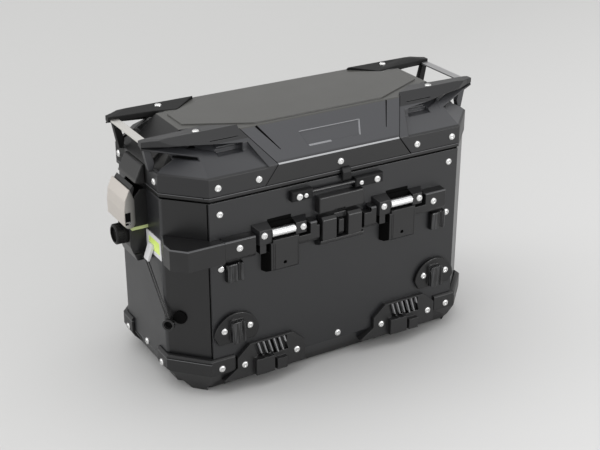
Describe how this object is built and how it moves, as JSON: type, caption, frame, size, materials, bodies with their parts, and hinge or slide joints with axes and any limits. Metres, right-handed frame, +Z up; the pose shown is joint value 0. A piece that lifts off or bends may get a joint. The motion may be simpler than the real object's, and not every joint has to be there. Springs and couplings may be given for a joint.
{
  "type": "motorcycle side case",
  "caption": "Aluminium-bodied motorcycle side case with a hinged moulded lid, latch lever, carrying handles, corner guards and rack rollers on its mounting side.",
  "frame": {"origin": "on the floor plane, under the middle of the body", "axes": "+X along the case to the hinged end, -X to the latch end, -Y out of the side that hangs on the rack, +Z up"},
  "size_m": [0.536, 0.2548, 0.3622],
  "materials": {
    "coated_aluminium": "satin black powder coat on aluminium sheet",
    "black_plastic": "finely grained black moulded nylon",
    "lid_plastic": "textured black moulded lid",
    "cover_plastic": "coarsely grained black corner covers",
    "black_steel": "black coated steel",
    "bright_steel": "bright stainless fasteners",
    "roller_steel": "turned steel rollers",
    "bare_aluminium": "brushed warm anodised handle bars",
    "lever_steel": "satin stainless latch parts",
    "grey_plastic": "grey moulded latch parts",
    "lime_plastic": "lime green accents",
    "seal_rubber": "black foam rubber seal"
  },
  "bodies": {
    "case": {"back_left_guard": "black_plastic", "back_right_guard": "black_plastic", "band_wrap": "black_plastic", "body_rim": "black_plastic", "body_rivets": "bright_steel", "cable_tab": "bright_steel", "catch_block": "black_plastic", "catch_rod": "black_steel", "catch_sill": "black_plastic", "clamp_pins": "bright_steel", "fitting_screws": "bright_steel", "front_left_guard": "black_plastic", "front_right_guard": "black_plastic", "guard_screws": "bright_steel", "hinge_base": "black_steel", "hinge_pin": "bright_steel", "latch_base": "lever_steel", "latch_pin": "bright_steel", "latch_spacer": "lime_plastic", "left_end_shell": "coated_aluminium", "left_flap": "black_plastic", "left_hook": "black_plastic", "left_pad": "black_plastic", "left_rack_support": "black_plastic", "left_roller_axle": "bright_steel", "left_roller_bracket": "black_steel", "lock_housing": "black_plastic", "main_sheet": "coated_aluminium", "mount_band": "black_plastic", "name_plate": "lime_plastic", "right_end_shell": "coated_aluminium", "right_flap": "black_plastic", "right_hook": "black_plastic", "right_pad": "black_plastic", "right_rack_support": "black_plastic", "right_roller_axle": "bright_steel", "right_roller_bracket": "black_steel", "rod_clamps": "black_steel", "roller_screws": "bright_steel", "tether_cable": "black_steel", "tether_stud": "black_plastic"},
    "lid": {"lid_shell": "lid_plastic", "lid_seal": "seal_rubber", "front_left_cover": "cover_plastic", "front_right_cover": "cover_plastic", "back_left_cover": "cover_plastic", "back_right_cover": "cover_plastic", "left_handle": "bare_aluminium", "right_handle": "bare_aluminium", "lid_screws": "bright_steel", "handle_screws": "bright_steel", "latch_receiver": "grey_plastic", "hinge_lid_leaf": "black_steel", "lid_tongue": "black_plastic"},
    "latch": {"latch_lever": "grey_plastic", "latch_plate": "lever_steel", "latch_claw": "black_plastic"},
    "lock": {"lock_knob": "black_plastic"},
    "left_spin": {"left_roller": "roller_steel"},
    "right_spin": {"right_roller": "roller_steel"},
    "rack_catch": {"catch_fork": "black_plastic"}
  },
  "joints": [
    {"name": "lid_hinge", "type": "hinge", "parent": "case", "child": "lid", "pos_m": [0.25, 0, 0.284], "axis": [0, 1, 0], "range_deg": [0, 100]},
    {"name": "latch_hinge", "type": "hinge", "parent": "case", "child": "latch", "pos_m": [-0.266, 0, 0.239], "axis": [0, -1, 0], "range_deg": [0, 75]},
    {"name": "lock_turn", "type": "hinge", "parent": "case", "child": "lock", "pos_m": [-0.27, 0, 0.2145], "axis": [-1, 0, 0], "range_deg": [0, 90]},
    {"name": "left_roller_spin", "type": "hinge", "parent": "case", "child": "left_spin", "pos_m": [-0.093, -0.1256, 0.2275], "axis": [1, 0, 0], "continuous": true},
    {"name": "right_roller_spin", "type": "hinge", "parent": "case", "child": "right_spin", "pos_m": [0.093, -0.1256, 0.2275], "axis": [1, 0, 0], "continuous": true},
    {"name": "catch_slide", "type": "slide", "parent": "case", "child": "rack_catch", "axis": [0, 0, 1], "range_m": [0, 0.004], "stiffness_N_per_m": 400, "springref_m": -0.004}
  ]
}
